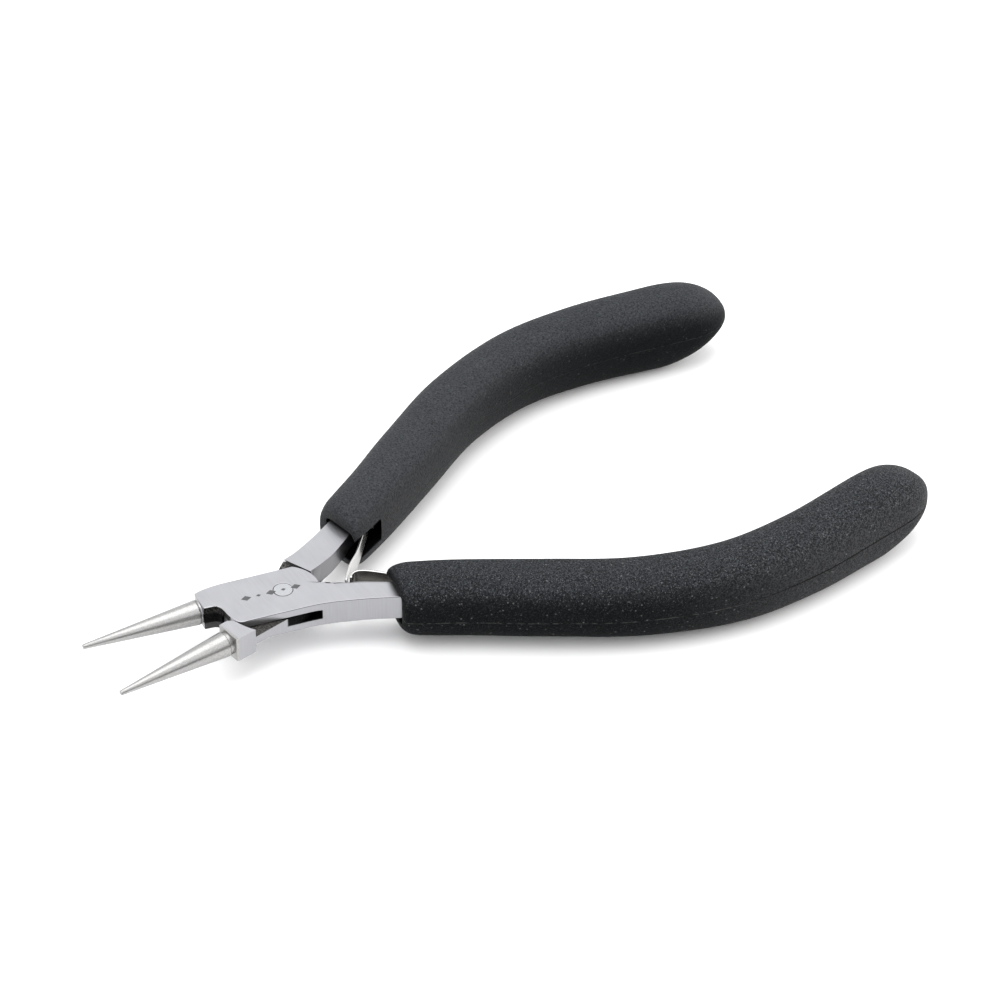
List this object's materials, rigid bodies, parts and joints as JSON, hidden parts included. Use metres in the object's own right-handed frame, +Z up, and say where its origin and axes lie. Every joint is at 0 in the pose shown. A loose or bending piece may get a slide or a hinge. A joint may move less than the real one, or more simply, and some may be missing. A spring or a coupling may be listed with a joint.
{
  "type": "round nose pliers",
  "caption": "Round nose pliers with slender conical jaws, a box joint, crossed leaf springs and curved soft grips, shown open.",
  "frame": {"origin": "middle of the pivot rivet's top face, which is flush with the top face of the joint", "axes": "+X from the jaws towards the handles along the middle of the opening, +Y towards the inner lever's handle, +Z up along the pivot's axis"},
  "size_m": [0.1385, 0.0796, 0.0147],
  "materials": {
    "satin_steel": "fine satin brushing",
    "rivet_steel": "ground flush",
    "spring_steel": "rolled strip with bright edges",
    "charcoal_rubber": "matte moulded sleeve with a fine pebble grain"
  },
  "bodies": {
    "outer_half": {"outer_lever": "satin_steel", "pivot_rivet": "rivet_steel", "outer_spring_rivet": "rivet_steel", "outer_grip": "charcoal_rubber"},
    "inner_half": {"inner_lever": "satin_steel", "inner_spring_rivet": "rivet_steel", "inner_grip": "charcoal_rubber"},
    "outer_leaf": {"outer_leaf_spring": "spring_steel"},
    "inner_leaf": {"inner_leaf_spring": "spring_steel"}
  },
  "joints": [
    {"name": "pivot", "type": "hinge", "parent": "outer_half", "child": "inner_half", "pos_m": [0, 0, -0.00225], "axis": [0, 0, -1], "range_deg": [0, 21], "stiffness_Nm_per_rad": 1, "springref_deg": -14.32},
    {"name": "outer_leaf_flex", "type": "hinge", "parent": "outer_half", "child": "outer_leaf", "pos_m": [0.02238, -0.01038, -0.00225], "axis": [0, 0, 1], "range_deg": [0, 5]},
    {"name": "inner_leaf_flex", "type": "hinge", "parent": "inner_half", "child": "inner_leaf", "pos_m": [0.02238, 0.01038, -0.00225], "axis": [0, 0, -1], "range_deg": [0, 13]}
  ],
  "couplings": [
    {"joint": "outer_leaf_flex", "follows": "pivot", "ratio": 0.2381},
    {"joint": "inner_leaf_flex", "follows": "pivot", "ratio": 0.61905}
  ]
}
